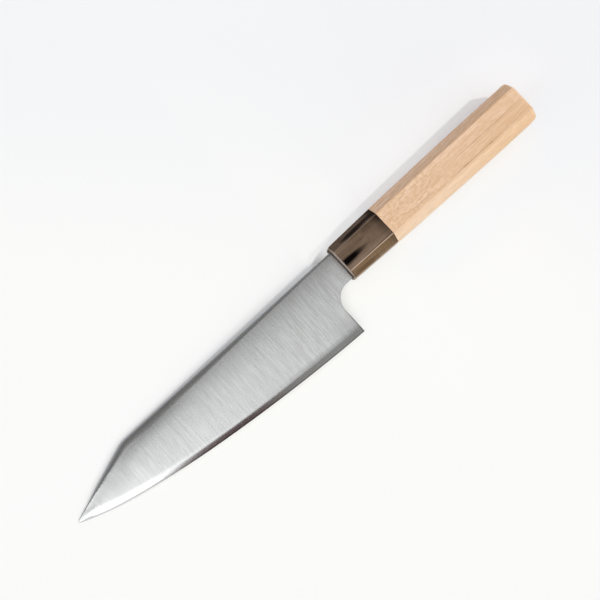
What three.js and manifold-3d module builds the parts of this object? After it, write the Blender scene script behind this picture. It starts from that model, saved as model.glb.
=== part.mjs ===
// Bunka knife: a clip-tipped kitchen blade on an octagonal wooden handle with a horn ferrule.
// Millimetres. +X runs along the handle to the blade's tip, +Y points to the cutting edge,
// and Z is across the blade's two faces. The origin is the middle of the flat butt end.

import * as THREE from 'three';
import { mergeVertices } from 'three/addons/utils/BufferGeometryUtils.js';
import Module from 'manifold-3d';

const wasm = await Module();
wasm.setup();

// Handle, ferrule and body together
const handleLength = 138.4;
const ferruleLength = 31.4;
const frontHeight = 22.4; // across the narrow sides, at the ferrule's front
const buttHeight = 25.9;
const bellyHeight = 1.25; // how much the narrow sides swell half way along
const frontThickness = 17.6; // between the two broad facets, at the ferrule's front
const buttThickness = 19.6;
const frontFacet = 13.4; // width of the broad facets, at the ferrule's front
const buttFacet = 16.7;
const arrisRadius = 1; // the eased ridges between facets
const rimLength = 3.4; // the rounded rim of the butt end, along the handle
const rimInset = 4.2; // and across it
const mouthRound = 1.2; // the rounded rim of the ferrule's front

// Blade outline
const bladeLength = 180; // heel to tip
const neckLength = 15.2; // ferrule to heel
const spineRise = 8.85; // spine from the handle's axis, at the ferrule
const spineFall = 0.88; // how far the spine dips by the clip's corner
const neckDepth = 9.75; // neck's lower line from the handle's axis
const heelDepth = 35.2; // heel's corner from the handle's axis
const tipDepth = 8.2; // tip from the handle's axis
const clipLength = 44.4; // the straight clip, from its corner to the tip
const clipCornerEase = 0.5; // softening of the clip's corner
const tipRound = 1.8; // the blunted nose
const choilRadius = 10.3; // the curve from the neck down to the heel
const edgeHeelRun = 18.8; // the edge's curve leaves the heel along this run and lift
const edgeHeelLift = 0.3;
const edgeTipRun = 44.6; // and comes up to the tip along this run and sweep
const edgeTipSweep = 20.4;

// Blade grind
const neckThickness = 2.3; // at the spine, by the ferrule
const tipThickness = 0.9; // along the spine's line, carried on to the tip
const shoulderThickness = 0.8; // where the faces roll over into the edge bevel
const facePower = 1.7; // above 1 the faces are convex
const heelBevel = 4.6; // width of the edge bevel at the heel
const tipBevel = 5.4;
const edgeThickness = 0.24; // behind the last, steep bevel of the edge
const edgeBevel = 0.5; // and that bevel's width
const neckEase = 1.3; // width of the rounded spine at the neck
const clipEase = 4.6; // and from the clip's corner on
const spineCrown = 0.45; // share of the thickness left on the spine's back
const noseEase = 0.13; // towards the nose, largest share of the blade's height that is rounded
const noseBevel = 0.5; // and that the bevel takes
const noseLastBevel = 0.25; // largest share of the bevel that its last part takes

// Tang and what holds it
const tangStop = 40; // solid wood behind the tang's end
const tangEndHeight = 5.6;
const tangEndThickness = 1.5;
const tangStep = 0.2; // each face of the tang lies this much under the neck's
const tangEmbed = 4; // how far the tang's root reaches into the neck
const bedding = 0.7; // resin round the tang's root
const beddingEnd = 2; // resin past the tang's end
const sealDepth = 3; // sealer in the ferrule's mouth
const ferruleWall = 1.7; // least horn round the dowel
const ferruleFrontWall = 9; // horn between the dowel's end and the mouth
const dowelWall = 1.5; // least wood of the dowel above and below the resin
const dowelInBody = 24;

// Clearances
const shoulderGap = 0.2; // blade's shoulder to the ferrule's front
const glueLine = 0.15; // ferrule to body, and the dowel in its bores
const fillGap = 0.1; // resin and sealer to the walls and to the tang

// Stations along the knife
const xJoint = handleLength - ferruleLength;
const xMouth = handleLength;
const xShoulder = xMouth + shoulderGap;
const xHeel = xMouth + neckLength;
const xTip = xHeel + bladeLength;
const xClip = xTip - clipLength;
const xNose = xTip - tipRound;

// Sizes that follow from the ones above
const boreRadius = frontThickness / 2 - ferruleWall;
const dowelRadius = boreRadius - glueLine;
const socketEnd = xMouth - ferruleFrontWall;
const boreEnd = xJoint - dowelInBody;
const channelHeight = 2 * (dowelRadius - dowelWall);
const tangRootHeight = channelHeight - 2 * bedding;
const tangRootThickness = neckThickness - 2 * tangStep;
const channelThickness = tangRootThickness + 2 * bedding;
const channelEnd = tangStop - beddingEnd;

// Fineness of the faceted surfaces
const roundSides = 40;
const bodySteps = 10;
const ferruleSteps = 4;
const rimSteps = 6;
const mouthSteps = 4;
const arrisSteps = 4;
const choilSteps = 14;
const neckSteps = 6;
const bladeSteps = 36;
const cornerSteps = 10;
const clipSteps = 18;
const noseSteps = 6;
const easeRows = 6;
const faceRows = 8;
const bevelRows = 6;
const cornerSpan = 4; // length of spine and clip that gets the corner's finer steps

const cutMargin = 5; // how far a cutter runs past what it cuts
const weldDistance = 1e-4;

const { lerp, clamp, mapLinear } = THREE.MathUtils;

// Evenly spaced values, without the last one
function spread(from, to, steps) {
  return Array.from({ length: steps }, (_, i) => lerp(from, to, i / steps));
}

// Closed mesh through rings of equal count that run from +Y to +Z, with a flat end or a point
function loft(rings, apex) {
  const count = rings[0].length;
  const last = (rings.length - 1) * count;
  const points = rings.flat();
  const triangles = [];
  for (let start = 0; start < last; start += count) {
    for (let j = 0; j < count; j++) {
      const a = start + j;
      const b = start + (j + 1) % count;
      triangles.push(a, b, b + count, a, b + count, a + count);
    }
  }
  for (let j = 1; j + 1 < count; j++) {
    triangles.push(0, j + 1, j);
    if (!apex) triangles.push(last, last + j, last + j + 1);
  }
  if (apex) {
    points.push(apex);
    for (let j = 0; j < count; j++) {
      triangles.push(last + j, last + (j + 1) % count, last + count);
    }
  }
  const geometry = new THREE.BufferGeometry().setFromPoints(points);
  geometry.setIndex(triangles);
  return geometry;
}

// Geometry to a solid that can be cut and joined, and back
function toSolid(geometry) {
  geometry.deleteAttribute('normal');
  geometry.deleteAttribute('uv');
  const welded = mergeVertices(geometry, weldDistance);
  const mesh = new wasm.Mesh({
    numProp: 3,
    vertProperties: new Float32Array(welded.attributes.position.array),
    triVerts: new Uint32Array(welded.index.array),
  });
  return new wasm.Manifold(mesh);
}

function toGeometry(solid) {
  const mesh = solid.getMesh();
  const geometry = new THREE.BufferGeometry();
  geometry.setAttribute('position', new THREE.BufferAttribute(mesh.vertProperties, 3));
  geometry.setIndex(new THREE.BufferAttribute(mesh.triVerts, 1));
  geometry.computeVertexNormals();
  return geometry;
}

// Round bar along the handle's axis
function bar(radius, xFrom, xTo) {
  const geometry = new THREE.CylinderGeometry(radius, radius, xTo - xFrom, roundSides);
  geometry.rotateZ(Math.PI / 2);
  geometry.translate((xFrom + xTo) / 2, 0, 0);
  return toSolid(geometry);
}

// The straight channel for the tang, less a clearance
function channel(clearance, xFrom, xTo) {
  const height = channelHeight - 2 * clearance;
  const thickness = channelThickness - 2 * clearance;
  const geometry = new THREE.BoxGeometry(xTo - xFrom, height, thickness);
  geometry.translate((xFrom + xTo) / 2, 0, 0);
  return toSolid(geometry);
}

// Stick tang that tapers to its end, plus a clearance
function tang(clearance, xFront) {
  const section = (x, height, thickness) => {
    const y = height / 2 + clearance;
    const z = thickness / 2 + clearance;
    return [[y, z], [-y, z], [-y, -z], [y, -z]].map((point) => new THREE.Vector3(x, ...point));
  };
  return toSolid(loft([
    section(tangStop - clearance, tangEndHeight, tangEndThickness),
    section(xShoulder, tangRootHeight, tangRootThickness),
    section(xFront, tangRootHeight, tangRootThickness),
  ]));
}

// Each corner of a section becomes the points of a small arc
function easeCorners(corners) {
  const count = corners.length;
  return corners.flatMap((corner, i) => {
    const before = corners[(i + count - 1) % count].clone().sub(corner).normalize();
    const after = corners[(i + 1) % count].clone().sub(corner).normalize();
    const turn = Math.PI - before.angleTo(after);
    const reach = arrisRadius * Math.tan(turn / 2);
    const start = corner.clone().addScaledVector(before, reach);
    const end = corner.clone().addScaledVector(after, reach);
    return new THREE.QuadraticBezierCurve3(start, corner, end).getPoints(arrisSteps);
  });
}

// Handle section: an octagon, taller than thick, with its corner facets at 45 degrees
function handleRing(x, inset = 0) {
  const along = x / handleLength;
  const swell = 4 * bellyHeight * along * (1 - along);
  const y = (lerp(buttHeight, frontHeight, along) + swell) / 2 - inset;
  const z = lerp(buttThickness, frontThickness, along) / 2 - inset;
  const broad = lerp(buttFacet, frontFacet, along) / 2 - inset * Math.tan(Math.PI / 8);
  const narrow = z - (y - broad);
  const corners = [
    [y, narrow], [broad, z], [-broad, z], [-y, narrow],
    [-y, -narrow], [-broad, -z], [broad, -z], [y, -narrow],
  ];
  return easeCorners(corners.map((point) => new THREE.Vector3(x, ...point)));
}

// Rounded rim of the butt end, then the swelling length up to the joint
function handleBody() {
  const rim = spread(0, Math.PI / 2, rimSteps).map((angle) => (
    handleRing(rimLength * (1 - Math.cos(angle)), rimInset * (1 - Math.sin(angle)))
  ));
  const length = [...spread(rimLength, xJoint, bodySteps), xJoint].map((x) => handleRing(x));
  return toSolid(loft([...rim, ...length]))
    .subtract(bar(boreRadius, boreEnd - glueLine, xJoint + cutMargin))
    .subtract(channel(0, channelEnd, xJoint));
}

// Horn ferrule: a blind socket for the dowel behind, a narrow mouth for the tang in front
function ferrule() {
  const xRear = xJoint + glueLine;
  const xRim = xMouth - mouthRound;
  const length = spread(xRear, xRim, ferruleSteps).map((x) => handleRing(x));
  const rim = [...spread(0, Math.PI / 2, mouthSteps), Math.PI / 2].map((angle) => (
    handleRing(xRim + mouthRound * Math.sin(angle), mouthRound * (1 - Math.cos(angle)))
  ));
  return toSolid(loft([...length, ...rim]))
    .subtract(bar(boreRadius, xJoint - cutMargin, socketEnd))
    .subtract(channel(0, socketEnd - cutMargin, xMouth + cutMargin));
}

// Dowel that lines up the ferrule and the body, pierced for the tang
function tenonDowel() {
  return bar(dowelRadius, boreEnd, socketEnd - glueLine)
    .subtract(channel(0, channelEnd, xMouth));
}

// Resin that fills the channel round the tang, open at its front
function tangBedding() {
  return channel(fillGap, channelEnd + fillGap, xMouth - sealDepth - fillGap)
    .subtract(tang(fillGap, xMouth));
}

// Sealer round the tang's root, level with the ferrule's front
function mouthSeal() {
  return channel(fillGap, xMouth - sealDepth, xMouth)
    .subtract(tang(fillGap, xMouth + cutMargin));
}

// Blade outline: the spine's line, the clip with its blunted nose, and the sweep of the edge
const edgeCurve = new THREE.CubicBezierCurve(
  new THREE.Vector2(xHeel, heelDepth),
  new THREE.Vector2(xHeel + edgeHeelRun, heelDepth - edgeHeelLift),
  new THREE.Vector2(xTip - edgeTipRun, tipDepth + edgeTipSweep),
  new THREE.Vector2(xTip, tipDepth),
);

function spineY(x) {
  return mapLinear(x, xMouth, xClip, -spineRise, spineFall - spineRise);
}

function clippedY(x) {
  const spine = spineY(x);
  const clip = mapLinear(x, xClip, xNose, spineY(xClip), tipDepth - tipRound);
  return (spine + clip + Math.hypot(spine - clip, clipCornerEase)) / 2;
}

function backY(x) {
  if (x <= xNose) return clippedY(x);
  const round = Math.sqrt(Math.max(0, 1 - ((x - xNose) / tipRound) ** 2));
  return lerp(tipDepth, clippedY(xNose), round);
}

function edgeY(x) {
  if (x <= xHeel) return mapLinear(x, xHeel, xHeel + edgeHeelRun, heelDepth, heelDepth - edgeHeelLift);
  let low = 0;
  let high = 1;
  for (let halvings = 0; halvings < 40; halvings++) {
    const middle = (low + high) / 2;
    if (edgeCurve.getPoint(middle).x < x) low = middle;
    else high = middle;
  }
  return edgeCurve.getPoint(low).y;
}

function bevelWidth(x) {
  return mapLinear(x, xHeel, xTip, heelBevel, tipBevel);
}

// Half the blade's thickness on its faces: a taper to the tip, and a convex fall to the bevel
function spineHalf(x) {
  return mapLinear(x, xMouth, xTip, neckThickness, tipThickness) / 2;
}

function faceTall(x) {
  return edgeY(x) - bevelWidth(x) - spineY(x);
}

function faceHalf(x, y) {
  const down = clamp((y - spineY(x)) / faceTall(x), 0, 1);
  return lerp(spineHalf(x), shoulderThickness / 2, down ** facePower);
}

// How steeply a face falls where it rolls over into the bevel
function footSlope(x) {
  return facePower * (spineHalf(x) - shoulderThickness / 2) / faceTall(x);
}

// Blade section from the rounded spine over the convex faces and bevels to the sharp edge.
// The bevel takes on the face's slope, steepens on its way down and ends in the last bevel.
function bladeRing(x) {
  const back = backY(x);
  const edge = edgeY(x);
  const tall = edge - back;
  const alongSpine = clamp((x - xMouth) / (xClip - xMouth), 0, 1);
  const ease = Math.min(lerp(neckEase, clipEase, alongSpine), noseEase * tall);
  const bevel = Math.min(bevelWidth(x), noseBevel * tall);
  const lastBevel = Math.min(edgeBevel, noseLastBevel * bevel);
  const roll = bevel - lastBevel;
  const top = back + ease;
  const foot = edge - bevel;
  const footHalf = faceHalf(x, foot);
  const fall = footHalf - edgeThickness / 2;
  const straightFall = Math.min(roll * footSlope(x), fall);
  const thin = Math.min(1, tall / tipBevel); // the nose thins away to a point
  const profile = [
    ...spread(0, Math.PI / 2, easeRows).map((angle) => (
      [back + ease * (1 - Math.cos(angle)), lerp(spineCrown, 1, Math.sin(angle)) * faceHalf(x, top)]
    )),
    ...spread(top, foot, faceRows).map((y) => [y, faceHalf(x, y)]),
    ...[...spread(0, 1, bevelRows), 1].map((part) => (
      [foot + roll * part, footHalf - straightFall * part - (fall - straightFall) * part ** 2]
    )),
  ];
  const near = profile.map(([y, half]) => new THREE.Vector3(x, y, thin * half));
  const far = profile.map(([y, half]) => new THREE.Vector3(x, y, -thin * half));
  return [new THREE.Vector3(x, edge, 0), ...near.reverse(), ...far];
}

// What is cut away below the neck and behind the heel
function choilCut() {
  const arcX = xHeel - choilRadius;
  const left = Math.min(arcX, xShoulder) - cutMargin;
  const bottom = heelDepth + cutMargin;
  const shape = new THREE.Shape();
  shape.moveTo(left, neckDepth);
  shape.lineTo(arcX, neckDepth);
  shape.absarc(arcX, neckDepth + choilRadius, choilRadius, -Math.PI / 2, 0);
  shape.lineTo(xHeel, bottom);
  shape.lineTo(left, bottom);
  const depth = neckThickness + 2 * cutMargin;
  const settings = { depth, bevelEnabled: false, curveSegments: choilSteps };
  const geometry = new THREE.ExtrudeGeometry(shape, settings);
  geometry.translate(0, 0, -depth / 2);
  return toSolid(geometry);
}

// Blade, neck and tang in one forging
function blade() {
  const stations = [
    ...spread(xShoulder, xHeel, neckSteps),
    ...spread(xHeel, xClip - cornerSpan, bladeSteps),
    ...spread(xClip - cornerSpan, xClip + cornerSpan, cornerSteps),
    ...spread(xClip + cornerSpan, xNose, clipSteps),
    ...spread(0, Math.PI / 2, noseSteps).map((angle) => xNose + tipRound * Math.sin(angle)),
  ];
  const blank = loft(stations.map(bladeRing), new THREE.Vector3(xTip, tipDepth, 0));
  return toSolid(blank)
    .subtract(choilCut())
    .add(tang(0, xShoulder + tangEmbed));
}

// The knife
const steel = new THREE.MeshStandardMaterial({ color: 0xbcbebd, roughness: 0.34, metalness: 1 });
const horn = new THREE.MeshStandardMaterial({ color: 0x6b5745, roughness: 0.22, metalness: 0 });
const paleWood = new THREE.MeshStandardMaterial({ color: 0xe3c6a6, roughness: 0.6, metalness: 0 });
const dowelWood = new THREE.MeshStandardMaterial({ color: 0xd2b184, roughness: 0.7, metalness: 0 });
const resin = new THREE.MeshStandardMaterial({ color: 0xc7a25c, roughness: 0.4, metalness: 0 });
const sealer = new THREE.MeshStandardMaterial({ color: 0x2b221c, roughness: 0.5, metalness: 0 });

const knife = new THREE.Group();

function addPiece(name, solid, material) {
  const piece = new THREE.Mesh(toGeometry(solid), material);
  piece.name = name;
  knife.add(piece);
}

addPiece('blade', blade(), steel);
addPiece('ferrule', ferrule(), horn);
addPiece('handle_body', handleBody(), paleWood);
addPiece('tenon_dowel', tenonDowel(), dowelWood);
addPiece('tang_bedding', tangBedding(), resin);
addPiece('mouth_seal', mouthSeal(), sealer);

export default knife;
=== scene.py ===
import math

import bmesh
import bpy
import numpy as np
from mathutils import Matrix, Vector


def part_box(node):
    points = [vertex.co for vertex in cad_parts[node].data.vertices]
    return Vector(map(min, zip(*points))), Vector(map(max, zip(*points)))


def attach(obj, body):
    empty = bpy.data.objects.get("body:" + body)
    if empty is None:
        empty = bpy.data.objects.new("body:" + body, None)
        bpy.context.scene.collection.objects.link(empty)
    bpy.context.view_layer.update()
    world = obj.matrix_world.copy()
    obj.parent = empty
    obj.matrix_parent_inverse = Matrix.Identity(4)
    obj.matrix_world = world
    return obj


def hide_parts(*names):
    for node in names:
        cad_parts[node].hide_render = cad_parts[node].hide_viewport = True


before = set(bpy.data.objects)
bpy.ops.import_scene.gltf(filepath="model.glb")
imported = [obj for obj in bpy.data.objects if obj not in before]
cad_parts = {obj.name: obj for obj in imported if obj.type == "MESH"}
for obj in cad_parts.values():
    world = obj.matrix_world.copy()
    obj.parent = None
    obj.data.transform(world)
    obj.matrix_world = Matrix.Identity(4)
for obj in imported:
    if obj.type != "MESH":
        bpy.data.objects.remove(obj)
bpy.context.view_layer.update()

scene = bpy.context.scene
scene.view_settings.view_transform = "Standard"
mm = 0.001
tiny = 1e-6  # points closer than this count as one
print("frame loaded:", ", ".join(sorted(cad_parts)))


# lengths are written in mm
def inMm(*lengths):
    return tuple(length * mm for length in lengths)


# a step along the knife or across it, in mm: from low at the start to high at the end
def step(start, end, low=0.0, high=1.0, soft=True):
    return (start * mm, end * mm, low, high, soft)


# camera: looks down on the near face from a little beyond the tip's side
cameraView = {
    "lens": 100,
    "sensor": 36,
    "aim": inMm(168.02, -0.61, 0),
    "stand": (0.1863, 0.0573, 1),  # from the aim towards the lens
    "distance": 896.35 * mm,
    "turn": math.radians(42.25),  # the handle points up and to the right
}


def makeCamera(view):
    data = bpy.data.cameras.new("camera")
    data.lens = view["lens"]
    data.sensor_width = view["sensor"]
    cameraObject = bpy.data.objects.new("camera", data)
    scene.collection.objects.link(cameraObject)
    back = Vector(view["stand"]).normalized()
    toButt = Vector((-1, 0, 0))
    toButt = (toButt - toButt.dot(back) * back).normalized()
    toEdge = toButt.cross(back)
    right = math.cos(view["turn"]) * toButt + math.sin(view["turn"]) * toEdge
    up = back.cross(right)
    spot = Vector(view["aim"]) + view["distance"] * back
    turned = Matrix((right, up, back)).transposed().to_4x4()
    cameraObject.matrix_world = Matrix.Translation(spot) @ turned
    scene.camera = cameraObject


makeCamera(cameraView)
print("camera set")


# small helpers for shader trees
def addNode(tree, kind, values=None, **settings):
    node = tree.nodes.new("ShaderNode" + kind)
    for name, value in settings.items():
        setattr(node, name, value)
    for socket, value in (values or {}).items():
        if isinstance(value, bpy.types.NodeSocket):
            tree.links.new(value, node.inputs[socket])
        else:
            node.inputs[socket].default_value = value
    return node


def calc(tree, operation, first, second=0.5, clamp=False):
    node = addNode(tree, "Math", {0: first, 1: second}, operation=operation, use_clamp=clamp)
    return node.outputs[0]


def times(tree, first, *others):
    for other in others:
        first = calc(tree, "MULTIPLY", first, other)
    return first


def remap(tree, value, fromLow, fromHigh, low=0.0, high=1.0, soft=True):
    kind = "SMOOTHSTEP" if soft else "LINEAR"
    values = {"Value": value, "From Min": fromLow, "From Max": fromHigh, "To Min": low, "To Max": high}
    return addNode(tree, "MapRange", values, interpolation_type=kind, clamp=True).outputs[0]


# several steps of one value, multiplied
def mask(tree, value, steps):
    return times(tree, *(remap(tree, value, *each) for each in steps))


def blend(tree, share, first, second):
    return addNode(tree, "Mix", {0: share, 6: first, 7: second}, data_type="RGBA").outputs[2]


def mixValue(tree, share, first, second):
    return addNode(tree, "Mix", {0: share, 2: first, 3: second}).outputs[0]


def objectSpot(tree):
    return addNode(tree, "TexCoord").outputs["Object"]


def axes(tree, spot):
    return tuple(addNode(tree, "SeparateXYZ", {0: spot}).outputs)


def attribute(tree, name):
    return addNode(tree, "Attribute", attribute_name=name).outputs["Fac"]


def addBump(tree, shader, height, strength, distance):
    bump = addNode(tree, "Bump", {"Strength": strength, "Distance": distance, "Height": height})
    tree.links.new(bump.outputs["Normal"], shader.inputs["Normal"])


def newMaterial(name):
    material = bpy.data.materials.new(name)
    material.use_nodes = True
    tree = material.node_tree
    return material, tree, tree.nodes["Principled BSDF"]


def newGroup(name, inputs, output):
    group = bpy.data.node_groups.new(name, "ShaderNodeTree")
    for socket, kind in inputs.items():
        group.interface.new_socket(socket, in_out="INPUT", socket_type="NodeSocket" + kind)
    group.interface.new_socket(output, in_out="OUTPUT", socket_type="NodeSocketFloat")
    return group, group.nodes.new("NodeGroupInput"), group.nodes.new("NodeGroupOutput")


# shared effects: roughness and contrast of the two kinds of noise
noiseLook = {
    "streakRough": 0.6,
    "streakRange": (0.25, 0.75),
    "mottleRough": 0.55,
    "mottleRange": (0.3, 0.7),
}


# long thin marks: brushing on steel, fibres in wood, veins in horn
def makeStreaks(look):
    inputs = {"Per Metre": "Vector", "Detail": "Float", "Wander": "Float"}
    group, start, end = newGroup("streaks", inputs, "Streak")
    scaled = addNode(group, "VectorMath", {0: objectSpot(group), 1: start.outputs["Per Metre"]},
                     operation="MULTIPLY")
    noise = addNode(group, "TexNoise", {
        "Vector": scaled.outputs[0],
        "Scale": 1.0,
        "Detail": start.outputs["Detail"],
        "Roughness": look["streakRough"],
        "Distortion": start.outputs["Wander"],
    })
    group.links.new(remap(group, noise.outputs["Fac"], *look["streakRange"]), end.inputs["Streak"])
    return group


# cloudy patches: uneven polish, mottled tone
def makeMottle(look):
    inputs = {"Patches Per Metre": "Float", "Detail": "Float"}
    group, start, end = newGroup("mottle", inputs, "Mottle")
    noise = addNode(group, "TexNoise", {
        "Vector": objectSpot(group),
        "Scale": start.outputs["Patches Per Metre"],
        "Detail": start.outputs["Detail"],
        "Roughness": look["mottleRough"],
    })
    group.links.new(remap(group, noise.outputs["Fac"], *look["mottleRange"]), end.inputs["Mottle"])
    return group


streaks = makeStreaks(noiseLook)
mottle = makeMottle(noiseLook)


def addStreaks(tree, perMetre, detail, wander):
    values = {"Per Metre": perMetre, "Detail": detail, "Wander": wander}
    return addNode(tree, "Group", values, node_tree=streaks).outputs[0]


def addMottle(tree, perMetre, detail):
    values = {"Patches Per Metre": perMetre, "Detail": detail}
    return addNode(tree, "Group", values, node_tree=mottle).outputs[0]


print("shader groups ready")


# single marks on one side of the knife: near (1) or far (-1)
markLook = {
    "side": step(0, 2),  # away from the middle plane
    "lensBorder": (0.1, 1.4, 1.0, 0.0),  # by the square of the reach from the mark's middle
    "plumeBorder": (0.45, 1.2, 1.0, 0.0),  # by the reach from the plume's middle line
    "plumeTail": 0.45,  # width at the tail, where the root is 1
    "plumeFull": 0.3,  # share of the length that keeps the full strength
}


def onSide(tree, z, side):
    return remap(tree, calc(tree, "MULTIPLY", z, float(side)), *markLook["side"])


# mask of one long thin mark: grain lines and veins
def lensMask(tree, place, lens):
    side, middle, height, halfLength, halfWidth, strength = lens
    x, y, z = place
    along = calc(tree, "DIVIDE", calc(tree, "SUBTRACT", x, middle), halfLength)
    across = calc(tree, "DIVIDE", calc(tree, "SUBTRACT", y, height), halfWidth)
    reach = calc(tree, "ADD", times(tree, along, along), times(tree, across, across))
    return times(tree, remap(tree, reach, *markLook["lensBorder"]), onSide(tree, z, side), strength)


# mask of one plume: a soft wedge that thins and fades from its root to its tail
def plumeMask(tree, place, wobble, plume):
    side, middle, half, root, tail, strength = plume
    x, y, z = place
    width = remap(tree, x, tail, root, markLook["plumeTail"] * half, half)
    across = calc(tree, "SUBTRACT", calc(tree, "ADD", y, wobble), middle)
    across = calc(tree, "DIVIDE", calc(tree, "ABSOLUTE", across), width)
    inside = remap(tree, across, *markLook["plumeBorder"])
    nearRoot = remap(tree, x, tail, root + markLook["plumeFull"] * (tail - root))
    return times(tree, inside, nearRoot, onSide(tree, z, side), strength)


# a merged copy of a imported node, with smooth faces and crisp corners
copyLook = {
    "flatAngle": math.radians(2),
    "shapeAngle": math.radians(60),
    "faceWeight": 100,  # large facets keep their own normals
}


def mergedCopy(node, sharpAngle):
    bm = bmesh.new()
    bm.from_mesh(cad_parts[node].data)
    bmesh.ops.remove_doubles(bm, verts=bm.verts, dist=tiny)
    bmesh.ops.join_triangles(bm, faces=bm.faces, angle_face_threshold=copyLook["flatAngle"],
                             angle_shape_threshold=copyLook["shapeAngle"])
    for face in bm.faces:
        face.smooth = True
    for edge in bm.edges:
        edge.smooth = edge.calc_face_angle(0) < sharpAngle
    bm.normal_update()
    return bm


def finishPiece(bm, name, node, material):
    mesh = bpy.data.meshes.new(name)
    bm.to_mesh(mesh)
    bm.free()
    if "custom_normal" in mesh.attributes:
        mesh.attributes.remove(mesh.attributes["custom_normal"])
    mesh.materials.clear()
    mesh.materials.append(material)
    piece = bpy.data.objects.new(name, mesh)
    scene.collection.objects.link(piece)
    facets = piece.modifiers.new("facetNormals", "WEIGHTED_NORMAL")
    facets.weight = copyLook["faceWeight"]
    facets.keep_sharp = True
    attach(piece, "root")
    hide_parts(node)


# blade: satin faces brushed across, a polished rounded spine and a polished edge bevel
bladeLook = {
    "steel": (0.70, 0.705, 0.70, 1),
    "dull": (0.58, 0.585, 0.58, 1),
    # painted light on the neck
    "neckLight": (0.92, 0.925, 0.93, 1),
    # painted dark reflection round the corner behind the heel
    "eased": (0.22, 0.22, 0.22, 1),
    "shadow": (0.05, 0.05, 0.048, 1),
    "sharpAngle": math.radians(40),
    "bevelWidth": inMm(4.6, 5.4),  # at the heel and at the tip
    "spineWidth": inMm(1.3, 4.6),  # at the neck and along the clip
    "bevelPolish": (0.0, 0.6),
    "spinePolish": (0.3, 0.7, 0.0, 0.2),
    "polish": 0.09,
    "satin": 0.25,
    "satinMarks": 0.05,  # roughness that the brush marks and the clouds add
    "satinClouds": 0.03,
    "clouds": (45.0, 2.0),
    "bump": (0.05, 0.02 * mm),
    "brushing": 0.9,  # glints spread along the blade, across the brush marks
    "brushScale": 5,
    "marks": [  # brush marks per metre, detail, wander; share
        ((1000, 60, 60), 3.0, 0.1, 0.4),
        ((430, 28, 28), 2.0, 0.1, 0.25),
        ((640, 75, 75), 2.0, 0.1, 0.35),
    ],
    "markDepth": [step(170, 228, 2.7, 1.05), step(282, 300, 1, 0.6)],  # deepest by the heel
    "dullShare": step(265, 320, 0.5, 0.3),
    "neckLightAlong": [step(139.5, 141, 0, 0.28), step(142, 150, 1, 0)],  # painted light on the neck, close to the ferrule
    "neckLightAcross": step(-7, -2),
    "choil": inMm(143.3, 20.05, 10.3),  # middle and radius of the curve behind the heel
    "choilReflectionLine": step(0.1, 0.9, 1, 0),
    "choilFade": step(17, 26, 0.2, 1),
    "shades": [  # painted shade and dark reflections: distance to go by; steps across; steps along
        ("fromEdge", [step(4, 16, 0.2, 0)], [step(156, 172, 1, 0)]),  # heel's corner
        ("fromEdge", [step(2, 3.5), step(3.5, 7, 1, 0)], [step(180, 232, 0.36, 0)]),  # bevel's soft start
        ("fromBack", [step(3.3, 4.8), step(4.8, 11, 0.22, 0, soft=False)],
         [step(238, 264), step(288, 306, 1, 0)]),  # rounding before the clip
        ("fromEdge", [step(0.3, 0.7, 0.7, 0)], [step(262, 290, 1, 0)]),  # last steep bevel
    ],
    "offBlade": 20 * mm,  # distance from the edge that the neck and the tang are given
    "narrowAt": inMm(140, 160, 215, 240, 262, 280, 288, 318),
    "narrowBy": (0, 0.1, 0.1, 0, -0.08, -0.08, 0, 0.55),  # how far the rounding draws back to the spine
    "slideFull": 0.14,  # share of the blade's height that moves with the rounding,
    "slideEnd": (inMm(250, 290), (0.15, 0.5)),  # and where the move runs out, along the blade
}


# painted dark reflection: a thin darker line round the corner behind the heel
def choilReflectionLine(tree, x, y, look):
    middleX, middleY, radius = look["choil"]
    right = calc(tree, "MAXIMUM", calc(tree, "SUBTRACT", x, middleX), 0.0)
    above = calc(tree, "MAXIMUM", calc(tree, "SUBTRACT", middleY, y), 0.0)
    reach = calc(tree, "ADD", times(tree, right, right), times(tree, above, above))
    inside = calc(tree, "SUBTRACT", calc(tree, "SQRT", reach), radius)
    return times(tree, remap(tree, inside, *look["choilReflectionLine"]), remap(tree, y, *look["choilFade"]))


# brush marks, dark above 0 and light below it
def brushMarks(tree, x, look):
    mark = -0.5  # half of the shares, so that the marks average 0
    for perMetre, detail, wander, share in look["marks"]:
        streak = addStreaks(tree, perMetre, detail, wander)
        mark = calc(tree, "ADD", mark, calc(tree, "MULTIPLY", streak, share))
    return times(tree, mark, mask(tree, x, look["markDepth"]))


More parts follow.
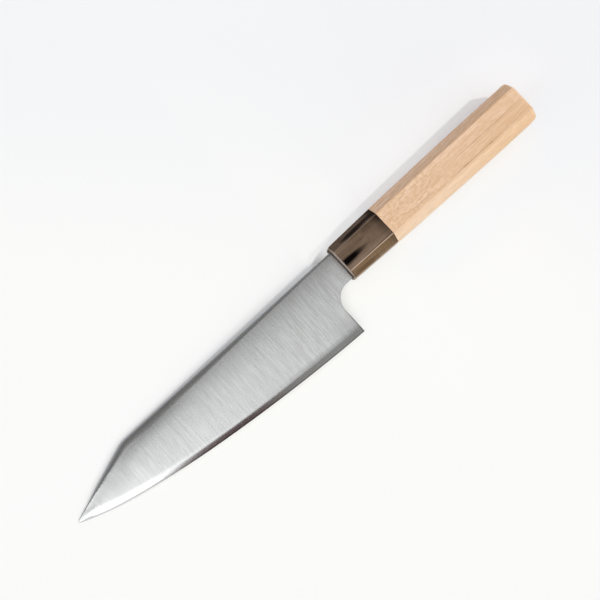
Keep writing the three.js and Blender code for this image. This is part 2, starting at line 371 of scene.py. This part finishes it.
def steelMaterial(look):
    material, tree, shader = newMaterial("satinSteel")
    x, y = axes(tree, objectSpot(tree))[:2]
    ground = calc(tree, "MAXIMUM", remap(tree, attribute(tree, "bevel"), *look["bevelPolish"]),
                  remap(tree, attribute(tree, "spine"), *look["spinePolish"]))
    brushed = calc(tree, "SUBTRACT", 1.0, ground)
    mark = brushMarks(tree, x, look)
    tone = calc(tree, "ADD", mark, remap(tree, x, *look["dullShare"]), clamp=True)
    colour = blend(tree, times(tree, tone, brushed), look["steel"], look["dull"])
    # painted light on the neck, close to the ferrule
    neck = times(tree, mask(tree, x, look["neckLightAlong"]), remap(tree, y, *look["neckLightAcross"]))
    colour = blend(tree, neck, colour, look["neckLight"])
    # painted dark reflection round the corner behind the heel
    colour = blend(tree, choilReflectionLine(tree, x, y, look), colour, look["eased"])
    # painted shade: darker bands across the blade
    for distance, across, along in look["shades"]:
        shade = times(tree, mask(tree, attribute(tree, distance), across), mask(tree, x, along))
        colour = blend(tree, shade, colour, look["shadow"])
    tree.links.new(colour, shader.inputs["Base Color"])
    shader.inputs["Metallic"].default_value = 1.0
    clouds = addMottle(tree, *look["clouds"])
    satin = calc(tree, "ADD", calc(tree, "MULTIPLY", mark, look["satinMarks"]), look["satin"])
    satin = calc(tree, "ADD", satin, calc(tree, "MULTIPLY", clouds, look["satinClouds"]))
    tree.links.new(mixValue(tree, ground, satin, look["polish"]), shader.inputs["Roughness"])
    addBump(tree, shader, times(tree, mark, brushed), *look["bump"])
    shader.inputs["Anisotropic"].default_value = look["brushing"]
    along = addNode(tree, "Tangent", direction_type="UV_MAP", uv_map="brushing")
    tree.links.new(along.outputs[0], shader.inputs["Tangent"])
    return material


# slides the rounding beside the spine along the face, and measures the blade for its material
def measureBlade(bm, look):
    low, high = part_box("blade")
    edgeLine = sorted((v.co.x, v.co.y) for v in bm.verts if abs(v.co.z) < tiny and v.co.x > low.x)
    edgeX, edgeY = zip(*edgeLine)
    heelX = edgeX[0]
    backX = sorted({round(v.co.x, 6) for v in bm.verts})
    backY = [min(v.co.y for v in bm.verts if abs(v.co.x - x) < tiny) for x in backX]
    layers = {name: bm.verts.layers.float.new(name) for name in ("bevel", "spine", "fromEdge", "fromBack")}
    for v in bm.verts:
        bevelWidth = np.interp(v.co.x, (heelX, high.x), look["bevelWidth"])
        spineWidth = np.interp(v.co.x, (heelX, high.x), look["spineWidth"])
        fromEdge = np.interp(v.co.x, edgeX, edgeY) - v.co.y
        fromBack = v.co.y - np.interp(v.co.x, backX, backY)
        height = max(fromEdge + fromBack, tiny * mm)
        slideEnd = np.interp(v.co.x, *look["slideEnd"])
        slide = np.interp(fromBack / height, (look["slideFull"], slideEnd), (1, 0))
        slide *= fromBack * np.interp(v.co.x, look["narrowAt"], look["narrowBy"])
        fromBack -= slide
        fromEdge += slide
        v.co.y -= slide
        onBlade = v.co.x >= heelX - tiny
        v[layers["bevel"]] = np.clip(1 - fromEdge / bevelWidth, 0, 1) if onBlade else 0
        v[layers["spine"]] = np.clip(1 - fromBack / spineWidth, 0, 1)
        v[layers["fromEdge"]] = fromEdge if onBlade else look["offBlade"]
        v[layers["fromBack"]] = fromBack


def makeBlade(look):
    bm = mergedCopy("blade", look["sharpAngle"])
    measureBlade(bm, look)
    brushMap = bm.loops.layers.uv.new("brushing")
    for face in bm.faces:
        for corner in face.loops:
            corner[brushMap].uv = corner.vert.co.xy * look["brushScale"]
    finishPiece(bm, "bladeSteel", "blade", steelMaterial(look))


makeBlade(bladeLook)
print("blade done")


# ferrule: polished horn with black plumes, painted shade and a dark joint line by the wood, and a painted
# highlight along the near ridge
hornLook = {
    "base": (0.156, 0.103, 0.067, 1),
    "pale": (0.265, 0.188, 0.130, 1),
    "warm": (0.192, 0.121, 0.064, 1),
    "deep": (0.022, 0.012, 0.007, 1),
    "vein": (0.008, 0.004, 0.002, 1),
    "black": (0.002, 0.001, 0.001, 1),
    # painted highlight along the ridges
    "ridge": (0.520, 0.390, 0.280, 1),
    # painted highlight round the mouth
    "rim": (0.520, 0.415, 0.335, 1),
    "sharpAngle": math.radians(35),
    "fibres": ((26, 520, 520), 4.0, 0.4),
    "hatch": ((1500, 90, 90), 2.0, 0.1),
    "clouds": (110.0, 3.0),
    "tonesAcross": [  # from the spine side to the edge side
        ("pale", step(-3, 6, 0, 0.5)),
        ("deep", step(-5, -8, 0, 0.2)),
        ("pale", step(4, 6, 0, 0.6)),
        ("warm", step(6.6, 7.8)),
    ],
    "figure": [
        ("clouds", "pale", (0.3, 1.0, 0.0, 0.35)),
        ("fibres", "deep", (0.35, 1.0, 0.0, 0.45)),
        ("hatch", "deep", (0.4, 1.0, 0.0, 0.14)),
    ],
    "jointShade": step(0, 7, 1, 0),  # from the joint on
    "jointAcross": step(-9, 8, 1, 0.4),
    "jointLine": step(0, 0.7, 0.9, 0),
    "frontAcross": [step(-9, -6.5), step(-5.5, -2, 1, 0)],  # pale patch by the mouth
    "frontAlong": step(122, 134, 0, 0.4),
    "rimHighlight": step(0.06, 0.32, 0.9, 0),  # painted highlight: a light line round the mouth, from the end face back
    # painted highlight on the ridges, stronger on the edge side
    "ridgeHighlight": (0.2, 0.6),
    "ridgeHighlightAcross": step(-4, 4, 0.25, 1),
    "endFace": step(0.05, 0.1, 1, 0),
    "slotShade": step(3.6, 5.0, 0.78, 0),  # dark on the end face, out from the blade
    "slotRough": 0.8,
    "roughness": (0.18, 0.32),
    "specular": 0.05,
    "hatchRelief": 0.5,
    "bump": (0.05, 0.05 * mm),
    "plumeWobble": 0.5 * mm,
    "plumes": [  # side; middle and half width across; root and tail along the knife; strength
        (1, *inMm(1.45, 2.6, 137, 118), 1.0),
        (-1, *inMm(-2.8, 1.7, 136, 121), 0.9),
        (-1, *inMm(4.5, 1.3, 106, 128), 0.7),
        (-1, *inMm(8.6, 1.2, 137, 112), 0.6),
    ],
    "veins": [  # side; middle along and across; half length, half width; strength
        (1, *inMm(116, -8.8, 16, 1.1), 0.9),
        (1, *inMm(124, -8.3, 8, 1.1), 0.9),
        # painted shade by the joint, drawn as a mild vein
        (1, *inMm(112, -5.0, 10, 1.8), 0.3),
        (-1, *inMm(118, -7.8, 12, 1.2), 0.7),
    ],
}


def hornMaterial(look):
    material, tree, shader = newMaterial("polishedHorn")
    low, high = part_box("ferrule")
    place = axes(tree, objectSpot(tree))
    x, y, z = place
    fromJoint = calc(tree, "SUBTRACT", x, low.x)
    fromMouth = calc(tree, "SUBTRACT", high.x, x)
    noise = {name: addStreaks(tree, *look[name]) for name in ("fibres", "hatch")}
    noise["clouds"] = addMottle(tree, *look["clouds"])
    colour = look["base"]
    for tone, across in look["tonesAcross"]:
        colour = blend(tree, remap(tree, y, *across), colour, look[tone])
    for name, tone, contrast in look["figure"]:
        colour = blend(tree, remap(tree, noise[name], *contrast), colour, look[tone])
    joint = times(tree, remap(tree, fromJoint, *look["jointShade"]), remap(tree, y, *look["jointAcross"]))
    joint = calc(tree, "MAXIMUM", joint, remap(tree, fromJoint, *look["jointLine"]))
    colour = blend(tree, joint, colour, look["deep"])
    front = times(tree, mask(tree, y, look["frontAcross"]), remap(tree, x, *look["frontAlong"]))
    colour = blend(tree, front, colour, look["pale"])
    for vein in look["veins"]:
        colour = blend(tree, lensMask(tree, place, vein), colour, look["vein"])
    wobble = look["plumeWobble"]
    wobble = remap(tree, noise["fibres"], 0.0, 1.0, -wobble, wobble, soft=False)
    for plume in look["plumes"]:
        colour = blend(tree, plumeMask(tree, place, wobble, plume), colour, look["black"])
    # painted highlight round the mouth
    colour = blend(tree, remap(tree, fromMouth, *look["rimHighlight"]), colour, look["rim"])
    # painted highlight along the ridges, stronger on the edge side
    ridge = remap(tree, attribute(tree, "arris"), *look["ridgeHighlight"])
    ridge = times(tree, ridge, remap(tree, y, *look["ridgeHighlightAcross"]))
    colour = blend(tree, ridge, colour, look["ridge"])
    slot = remap(tree, calc(tree, "ABSOLUTE", z), *look["slotShade"])
    slot = times(tree, slot, remap(tree, fromMouth, *look["endFace"]))
    colour = blend(tree, slot, colour, look["deep"])
    tree.links.new(colour, shader.inputs["Base Color"])
    rough = remap(tree, noise["clouds"], 0.0, 1.0, *look["roughness"])
    tree.links.new(mixValue(tree, slot, rough, look["slotRough"]), shader.inputs["Roughness"])
    shader.inputs["Specular IOR Level"].default_value = look["specular"]
    relief = calc(tree, "ADD", noise["fibres"], calc(tree, "MULTIPLY", noise["hatch"], look["hatchRelief"]))
    addBump(tree, shader, relief, *look["bump"])
    return material


# ridge mask: 0 on the flat facets, 1 where two facets meet
def markArris(bm):
    layer = bm.verts.layers.float.new("arris")
    eighth = math.pi / 4  # from one facet to the next
    for v in bm.verts:
        turn = math.atan2(v.normal.z, v.normal.y) / eighth % 1
        v[layer] = 1 - abs(turn - 0.5) * 2


def makeFerrule(look):
    bm = mergedCopy("ferrule", look["sharpAngle"])
    markArris(bm)
    finishPiece(bm, "hornFerrule", "ferrule", hornMaterial(look))


makeFerrule(hornLook)
print("ferrule done")


# handle: pale wood with straight grain, a curly patch towards the ferrule and a few dark flecks
woodLook = {
    "base": (0.845, 0.550, 0.327, 1),
    "pale": (0.972, 0.722, 0.508, 1),
    "dark": (0.690, 0.412, 0.205, 1),
    "pore": (0.400, 0.235, 0.110, 1),
    "slant": [(0.650, 0.460, 0.283, 1), (0.700, 0.570, 0.435, 1)],  # painted shade on the lower slanting faces, butt to ferrule
    "sharpAngle": math.radians(35),
    "fibres": ((150, 1500, 1500), 3.0, 0.3),
    "bands": ((9, 300, 300), 2.0, 0.3),
    "pores": ((190, 2400, 2400), 1.0, 0.0),
    "curls": ((460, 560, 560), 2.0, 0.6),
    "heart": inMm(0, -60, -25),  # middle of the tree that the rings go round
    "ringWidth": 1.0 * mm,
    "ringDrift": step(0.1, 0.4, 0.6, 2.2),  # on the butt's end grain, and along the sides
    "ringShare": step(0.1, 0.4, 0.55, 0.2),
    "paleAlong": step(12, 85, 0, 0.5, soft=False),
    "paleAcross": step(-1, 4, 0.07, -0.19),
    "paleEnd": step(88, 100, 0, 0.15),  # taken off again by the ferrule
    "paleFibres": (0.1, 0.9, 0.0, 0.6),
    "darkBands": (0.2, 0.8, 0.0, 0.35),
    "broadFace": step(0, 107, 8.3 * mm, 7.0 * mm, soft=False),  # half width, butt to ferrule
    "ridge": step(-0.5, 0.5),
    "curlRange": (0.3, 0.8),
    "curlAlong": [step(50, 85, 0.2, 0.5), step(0.1, 0.4)],
    "curlSlant": 0.8,  # how much of the curl is missing on the slanting faces
    "lowerSide": step(-1, 1),
    "upperShade": (0.25, 0.75, 0.48, 0.0),  # painted shade on the upper slanting faces, broken up by the fibres
    # share of the painted shade on the lower slanting faces, by the fibres
    "lowerSlant": (0.25, 0.75, 0.55, 0.25),
    "slantAlong": step(13, 85),
    "poreShare": (0.8, 1.0, 0.0, 0.16),
    "roughness": (0.5, 0.62),
    "specular": 0.3,
    "poreRelief": 0.6,
    "bump": (0.10, 0.06 * mm),
    "lines": [  # side; middle along and across; half length, half width; strength
        (1, *inMm(30, -0.2, 26, 0.4), 0.28),
        (1, *inMm(40, 6.4, 19, 0.5), 0.28),
        (1, *inMm(84, 4.8, 12, 0.5), 0.28),
        (1, *inMm(51.5, 6.4, 2.6, 0.45), 0.55),
        (1, *inMm(32, 6.6, 1.8, 0.45), 0.45),
        (1, *inMm(39, -0.1, 2.2, 0.4), 0.3),
        (-1, *inMm(62, 2.6, 24, 0.45), 0.28),
        (-1, *inMm(24, -4.1, 17, 0.4), 0.28),
        (-1, *inMm(70, 2.5, 2.4, 0.4), 0.45),
    ],
}


# growth rings round the heart, light 0 and dark 1
def woodRings(tree, spot, x, bands, look):
    fromHeart = addNode(tree, "VectorMath", {0: spot, 1: look["heart"]}, operation="SUBTRACT").outputs[0]
    flat = addNode(tree, "VectorMath", {0: fromHeart, 1: (0, 1, 1)}, operation="MULTIPLY").outputs[0]
    radius = addNode(tree, "VectorMath", {0: flat}, operation="LENGTH").outputs["Value"]
    drift = times(tree, bands, remap(tree, x, *look["ringDrift"]))
    ring = calc(tree, "ADD", calc(tree, "DIVIDE", radius, look["ringWidth"]), drift)
    return remap(tree, calc(tree, "SINE", calc(tree, "MULTIPLY", ring, math.tau)), -1.0, 1.0)


def woodMaterial(name, look):
    material, tree, shader = newMaterial(name)
    spot = objectSpot(tree)
    place = axes(tree, spot)
    x, y = place[:2]
    fibres, bands, pores, curls = (
        addStreaks(tree, *look[noise]) for noise in ("fibres", "bands", "pores", "curls")
    )
    lighter = calc(tree, "ADD", remap(tree, x, *look["paleAlong"]), remap(tree, y, *look["paleAcross"]))
    lighter = calc(tree, "SUBTRACT", lighter, remap(tree, x, *look["paleEnd"]))
    lighter = calc(tree, "ADD", lighter, remap(tree, fibres, *look["paleFibres"]), clamp=True)
    colour = blend(tree, lighter, look["base"], look["pale"])
    colour = blend(tree, remap(tree, bands, *look["darkBands"]), colour, look["dark"])
    ring = times(tree, woodRings(tree, spot, x, bands, look), remap(tree, x, *look["ringShare"]))
    colour = blend(tree, ring, colour, look["dark"])
    pastRidge = calc(tree, "SUBTRACT", calc(tree, "ABSOLUTE", y), remap(tree, x, *look["broadFace"]))
    onSlant = remap(tree, pastRidge, *look["ridge"])
    onBroad = calc(tree, "SUBTRACT", 1.0, calc(tree, "MULTIPLY", onSlant, look["curlSlant"]))
    curly = times(tree, remap(tree, curls, *look["curlRange"]), mask(tree, x, look["curlAlong"]), onBroad)
    colour = blend(tree, curly, colour, look["dark"])
    onLower = times(tree, onSlant, remap(tree, y, *look["lowerSide"]))
    onUpper = calc(tree, "SUBTRACT", onSlant, onLower)
    # painted shade on the upper slanting faces
    onUpper = times(tree, onUpper, remap(tree, fibres, *look["upperShade"]))
    colour = blend(tree, onUpper, colour, look["dark"])
    # painted shade on the lower slanting faces
    onLower = times(tree, onLower, remap(tree, fibres, *look["lowerSlant"]))
    slantShade = blend(tree, remap(tree, x, *look["slantAlong"]), *look["slant"])
    colour = blend(tree, onLower, colour, slantShade)
    colour = blend(tree, remap(tree, pores, *look["poreShare"]), colour, look["pore"])
    for line in look["lines"]:
        colour = blend(tree, lensMask(tree, place, line), colour, look["pore"])
    tree.links.new(colour, shader.inputs["Base Color"])
    tree.links.new(remap(tree, fibres, 0.0, 1.0, *look["roughness"]), shader.inputs["Roughness"])
    shader.inputs["Specular IOR Level"].default_value = look["specular"]
    relief = calc(tree, "SUBTRACT", fibres, calc(tree, "MULTIPLY", pores, look["poreRelief"]))
    addBump(tree, shader, relief, *look["bump"])
    return material


def makeHandle(look):
    bm = mergedCopy("handle_body", look["sharpAngle"])
    finishPiece(bm, "woodHandle", "handle_body", woodMaterial("paleWood", look))


makeHandle(woodLook)
print("handle done")


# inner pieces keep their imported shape: dowel, resin round the tang, sealer in the ferrule's mouth
dowelLook = {
    **woodLook,
    "base": (0.640, 0.430, 0.220, 1),
    "pale": (0.720, 0.510, 0.300, 1),
    "dark": (0.520, 0.320, 0.150, 1),
    "heart": inMm(0, 0, -9),
    "lines": [],
}
fillLook = {
    "clouds": (400.0, 4.0),
    "roughSpread": 0.1,
    "bump": (0.2, 0.1 * mm),
    "tones": {
        "tang_bedding": [(0.560, 0.360, 0.110, 1), (0.420, 0.250, 0.060, 1)],
        "mouth_seal": [(0.024, 0.016, 0.011, 1), (0.010, 0.007, 0.005, 1)],
    },
    "roughness": {"tang_bedding": 0.35, "mouth_seal": 0.5},
}


def fillMaterial(node, look):
    material, tree, shader = newMaterial(node + "_fill")
    clouds = addMottle(tree, *look["clouds"])
    tree.links.new(blend(tree, clouds, *look["tones"][node]), shader.inputs["Base Color"])
    rough, spread = look["roughness"][node], look["roughSpread"]
    rough = remap(tree, clouds, 0.0, 1.0, rough - spread, rough + spread)
    tree.links.new(rough, shader.inputs["Roughness"])
    addBump(tree, shader, clouds, *look["bump"])
    return material


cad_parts["tenon_dowel"].material_slots[0].material = woodMaterial("dowelWood", dowelLook)
for nodeName in fillLook["tones"]:
    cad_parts[nodeName].material_slots[0].material = fillMaterial(nodeName, fillLook)
print("inner pieces done")


# floor: pale, under the tip and the ferrule's rim, with painted light and shade beside the knife
floorLook = {
    "reach": 8,
    "cells": 4,
    "white": (0.988, 0.988, 0.958, 1),
    "far": (0.938, 0.944, 0.938, 1),  # towards the handle's end
    "farWay": (-0.67, -0.74, 0),
    "farRange": step(-110, 30),
    "pastButt": step(-50, 10),
    "sides": [  # painted light and shade: tone; steps across; step along
        ((1.0, 1.0, 0.99, 1), [step(-55, -15), step(-8, 0, 1, 0)], step(110, 150, 1, 0.3)),  # painted light by the spine, against the shade there
        ((0.912, 0.938, 0.948, 1), [step(0, 8), step(14, 60, 1, 0)], step(90, 125, 1, 0)),  # painted cool shade by the edge
    ],
    "roughness": 0.9,
    "contactLeans": [(-0.35, 0.75, 0.55), (0.9, 0, 0.4)],  # shade by the spine and by the heel
    "contactReach": step(170, 290, 12 * mm, 5.5 * mm),  # by the heel and by the tip
    "contactRange": (0.55, 0.87, 0.0, 1.0, False),
    "contactSamples": 8,
    "contactAlong": [step(136, 150), step(314, 328, 1, 0.3)],  # beside the blade alone
    "shadowEnd": (126 * mm, -16.4 * mm, 0.22),  # start and slant of the line where the ferrule's shadow thins
    "pastShadow": [step(-0.6, 0.8), step(3, 15, 1, 0)],  # outwards from that line
    "pastAlong": [step(112, 130), step(147, 153, 1, 0)],
    "pastGlow": 0.72,
    "glowAlong": step(15, 75, 0.31, 0.45),  # share that shadows don't reach, from the butt on
    "glowMiddle": 128 * mm,
    "glowFerrule": step(14, 26, 0.15, 0),  # a larger share round that middle: painted light on the ferrule's shadow
}


def floorMesh(look):
    tip = max((v.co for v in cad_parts["blade"].data.vertices), key=lambda co: co.x)
    slope = max((tip.z - v.co.z) / (tip.x - v.co.x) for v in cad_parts["ferrule"].data.vertices)
    bm = bmesh.new()
    bmesh.ops.create_grid(bm, x_segments=look["cells"], y_segments=look["cells"], size=look["reach"])
    bmesh.ops.rotate(bm, verts=bm.verts, matrix=Matrix.Rotation(-math.atan(slope), 3, "Y"))
    bmesh.ops.translate(bm, verts=bm.verts, vec=(tip.x, 0, tip.z))
    mesh = bpy.data.meshes.new("floor")
    bm.to_mesh(mesh)
    bm.free()
    return mesh


def floorTone(tree, spot, along, across, look):
    far = addNode(tree, "VectorMath", {0: spot, 1: look["farWay"]}, operation="DOT_PRODUCT").outputs["Value"]
    tone = blend(tree, remap(tree, far, *look["farRange"]), look["white"], look["far"])
    pastButt = remap(tree, along, *look["pastButt"])
    # painted light by the spine and painted cool shade by the edge
    for sideTone, acrossSteps, alongStep in look["sides"]:
        beside = times(tree, mask(tree, across, acrossSteps), remap(tree, along, *alongStep), pastButt)
        tone = blend(tree, beside, tone, sideTone)
    return tone


# 1 in the open, less where the blade lies close over the floor
def contactLight(tree, along, look):
    reach = remap(tree, along, *look["contactReach"])
    light = 1.0
    for lean in look["contactLeans"]:
        way = addNode(tree, "CombineXYZ", dict(enumerate(lean))).outputs[0]
        contact = addNode(tree, "AmbientOcclusion", {"Distance": reach, "Normal": way},
                          samples=look["contactSamples"])
        light = times(tree, light, remap(tree, contact.outputs["AO"], *look["contactRange"]))
    return light


# 1 where the ferrule's shadow has thinned out
def pastShadow(tree, along, across, look):
    startX, startY, slant = look["shadowEnd"]
    border = calc(tree, "MULTIPLY", calc(tree, "SUBTRACT", along, startX), slant)
    outside = calc(tree, "SUBTRACT", calc(tree, "ADD", border, startY), across)
    return times(tree, mask(tree, outside, look["pastShadow"]), mask(tree, along, look["pastAlong"]))


def floorMaterial(look):
    material, tree, shader = newMaterial("paleFloor")
    spot = objectSpot(tree)
    along, across = axes(tree, spot)[:2]
    tone = floorTone(tree, spot, along, across, look)
    tree.links.new(tone, shader.inputs["Base Color"])
    shader.inputs["Roughness"].default_value = look["roughness"]
    shader.inputs["Specular IOR Level"].default_value = 0.0
    path = addNode(tree, "LightPath").outputs
    direct = calc(tree, "MAXIMUM", path["Is Camera Ray"], path["Is Glossy Ray"])
    direct = calc(tree, "MAXIMUM", direct, path["Is Transmission Ray"])
    past = pastShadow(tree, along, across, look)
    shaded = times(tree, mask(tree, along, look["contactAlong"]), path["Is Camera Ray"])
    shaded = times(tree, shaded, calc(tree, "SUBTRACT", 1.0, past))
    light = mixValue(tree, shaded, 1.0, contactLight(tree, along, look))
    glow = addNode(tree, "Emission", {"Color": tone, "Strength": light})
    fromMiddle = calc(tree, "ABSOLUTE", calc(tree, "SUBTRACT", along, look["glowMiddle"]))
    share = remap(tree, fromMiddle, *look["glowFerrule"])
    share = calc(tree, "ADD", remap(tree, along, *look["glowAlong"]), share)
    share = times(tree, direct, mixValue(tree, past, share, look["pastGlow"]))
    lit = addNode(tree, "MixShader", {0: share, 1: shader.outputs[0], 2: glow.outputs[0]})
    below = addNode(tree, "NewGeometry").outputs["Backfacing"]
    clear = addNode(tree, "BsdfTransparent")
    pick = addNode(tree, "MixShader", {0: below, 1: lit.outputs[0], 2: clear.outputs[0]})
    tree.links.new(pick.outputs[0], tree.nodes["Material Output"].inputs["Surface"])
    return material


def makeFloor(look):
    mesh = floorMesh(look)
    mesh.materials.append(floorMaterial(look))
    floor = bpy.data.objects.new("floor", mesh)
    scene.collection.objects.link(floor)


# dome: darker on the spine side
domeLook = {
    "light": (0.90, 0.905, 0.915, 1),
    "shade": (0.218, 0.230, 0.355, 1),  # on the spine side
    "mirrored": (0.27, 0.272, 0.275, 1),  # the same side as the steel mirrors it
    "turn": (-0.6, 0.1),  # from the shade to the light
}


def makeDome(look):
    world = bpy.data.worlds.new("dome")
    scene.world = world
    world.use_nodes = True
    tree = world.node_tree
    toEdge = axes(tree, addNode(tree, "TexCoord").outputs["Generated"])[1]
    glossy = addNode(tree, "LightPath").outputs["Is Glossy Ray"]
    spineSide = blend(tree, glossy, look["shade"], look["mirrored"])
    colour = blend(tree, remap(tree, toEdge, *look["turn"]), spineSide, look["light"])
    tree.links.new(colour, tree.nodes["Background"].inputs["Color"])


# a small key lamp
keyLook = {
    "aim": (-0.68, 0.385, 1),
    "strength": 1.0,
    "spread": math.radians(2),
    "colour": (1.0, 0.97, 0.93),
}


def makeKey(look):
    data = bpy.data.lights.new("key", "SUN")
    data.energy = look["strength"]
    data.angle = look["spread"]
    data.color = look["colour"]
    lamp = bpy.data.objects.new("key", data)
    lamp.rotation_mode = "QUATERNION"
    lamp.rotation_quaternion = Vector(look["aim"]).to_track_quat("Z", "Y")
    scene.collection.objects.link(lamp)


# softboxes over the tip
ceiling = 900 * mm  # height of the softboxes
softboxes = {
    "softbox": {"from": inMm(251, 8), "to": inMm(480, 200), "level": 1.35},  # white patch in the edge bevel
    "tipFill": {"from": inMm(215, -35), "to": inMm(700, 8), "level": 1.27},  # lightens the face by the tip
}


def makeSoftbox(name, box):
    data = bpy.data.lights.new(name, "AREA")
    data.shape = "RECTANGLE"
    data.size = box["to"][0] - box["from"][0]
    data.size_y = box["to"][1] - box["from"][1]
    data.energy = box["level"] * math.pi * data.size * data.size_y
    lamp = bpy.data.objects.new(name, data)
    middle = [(low + high) / 2 for low, high in zip(box["from"], box["to"])]
    lamp.location = (*middle, ceiling)
    lamp.visible_camera = False
    scene.collection.objects.link(lamp)


# flags: grey boards that only mirror-like surfaces see
flagDrop = 5 * mm  # they hang just under the softboxes
flags = {
    "spineFlag": {
        "corners": [(-500, -45), (-500, -420), (800, -420), (800, -45)],
        "tone": (0.17, 0.17, 0.165, 1),
    },
    "edgeFlag": {
        "corners": [(-60, 90), (221, 98), (267, 148), (267, 900), (-60, 900)],
        "tone": (0.30, 0.30, 0.288, 1),
        "tipTone": (0.078, 0.036, 0.038, 1),
        "tipFrom": step(85, 130),
    },
    "buttFlag": {
        "corners": [(-30, -45), (-30, 68), (-700, 68), (-700, -45)],
        "tone": (0.5, 0.5, 0.49, 1),
    },
}


def makeFlag(name, flag):
    bm = bmesh.new()
    bm.faces.new([bm.verts.new((*inMm(*corner), ceiling - flagDrop)) for corner in flag["corners"]])
    mesh = bpy.data.meshes.new(name)
    bm.to_mesh(mesh)
    bm.free()
    material, tree, shader = newMaterial(name)
    tree.nodes.remove(shader)
    tone = flag["tone"]
    if "tipTone" in flag:
        along = axes(tree, objectSpot(tree))[0]
        tone = blend(tree, remap(tree, along, *flag["tipFrom"]), tone, flag["tipTone"])
    glow = addNode(tree, "Emission", {"Color": tone})
    tree.links.new(glow.outputs[0], tree.nodes["Material Output"].inputs["Surface"])
    mesh.materials.append(material)
    board = bpy.data.objects.new(name, mesh)
    for ray in ("camera", "diffuse", "transmission", "volume_scatter", "shadow"):
        setattr(board, "visible_" + ray, False)
    scene.collection.objects.link(board)


makeFloor(floorLook)
makeDome(domeLook)
makeKey(keyLook)
for boxName, boxShape in softboxes.items():
    makeSoftbox(boxName, boxShape)
for flagName, flagShape in flags.items():
    makeFlag(flagName, flagShape)
print("studio done")
